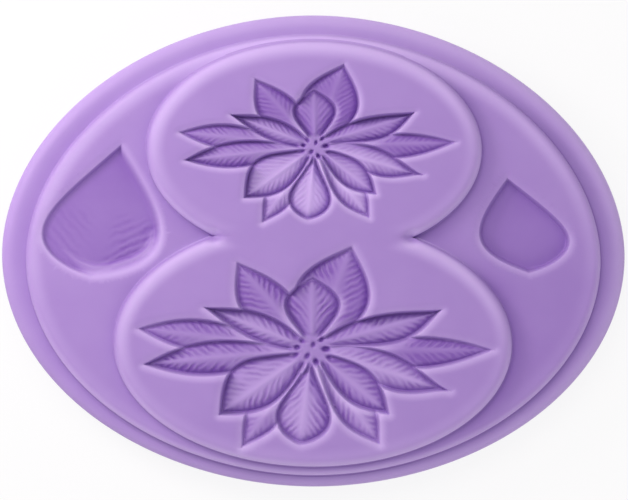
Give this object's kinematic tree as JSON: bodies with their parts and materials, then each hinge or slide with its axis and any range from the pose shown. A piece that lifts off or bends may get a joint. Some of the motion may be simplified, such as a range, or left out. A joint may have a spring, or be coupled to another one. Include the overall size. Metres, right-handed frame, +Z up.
{
  "type": "fondant mould",
  "caption": "Egg-shaped silicone fondant mould with stepped tiers: sunken poinsettia flowers on a raised figure-of-eight tier, and sunken leaves on the tier below it.",
  "frame": {"origin": "the middle of the flat back, on the surface that the mould lies on", "axes": "+X across the width, from the large leaf to the small leaf; +Y from the large flower to the small flower; +Z up, out of the hollows"},
  "size_m": [0.0952, 0.0722, 0.01],
  "materials": {
    "lilac_silicone": "soft satin, moulded, lilac all through"
  },
  "bodies": {
    "root": {"backing_slab": "lilac_silicone", "left_leaf_wing": "lilac_silicone", "right_leaf_wing": "lilac_silicone", "large_flower_disc": "lilac_silicone", "small_flower_disc": "lilac_silicone"}
  },
  "joints": []
}
